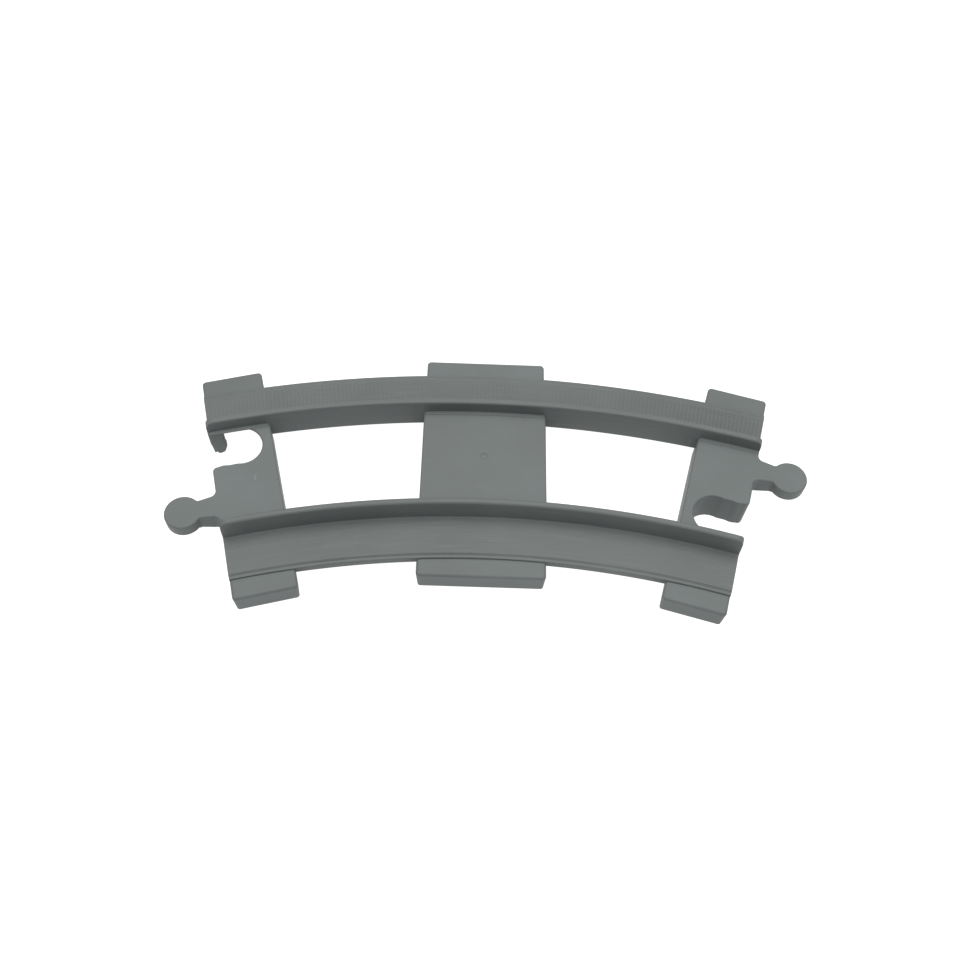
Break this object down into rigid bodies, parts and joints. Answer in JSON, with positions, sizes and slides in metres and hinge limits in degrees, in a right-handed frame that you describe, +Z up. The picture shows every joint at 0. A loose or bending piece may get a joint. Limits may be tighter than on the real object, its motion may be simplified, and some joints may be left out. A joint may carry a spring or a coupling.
{
  "type": "model track section",
  "caption": "Curved toy railway track section with guide rails on hollow sleepers; each end has a peg and a socket that join it to the next section",
  "frame": {"origin": "On the ground plane, on the track's centre line, at the middle of the arc. It's the mouth of the tube below the centre sleeper.", "axes": "+X runs along the track's chord, +Y points out of the curve, +Z is up."},
  "size_m": [0.1576, 0.0709, 0.013],
  "materials": {
    "sleeper_plastic": "satin moulded plastic, dark bluish grey, with faint scuffs",
    "rail_plastic": "satin moulded plastic, dark bluish grey, rubbed by wheels"
  },
  "bodies": {
    "root": {"outer_rail": "rail_plastic", "outer_rib": "rail_plastic", "grip_ridges": "rail_plastic", "inner_rail": "rail_plastic", "inner_rib": "rail_plastic", "centre_deck": "sleeper_plastic", "centre_tube": "sleeper_plastic", "centre_outer_foot": "sleeper_plastic", "centre_inner_foot": "sleeper_plastic", "left_deck": "sleeper_plastic", "left_socket": "sleeper_plastic", "left_peg": "sleeper_plastic", "left_outer_foot": "sleeper_plastic", "left_inner_foot": "sleeper_plastic", "right_deck": "sleeper_plastic", "right_socket": "sleeper_plastic", "right_peg": "sleeper_plastic", "right_outer_foot": "sleeper_plastic", "right_inner_foot": "sleeper_plastic"}
  },
  "joints": []
}
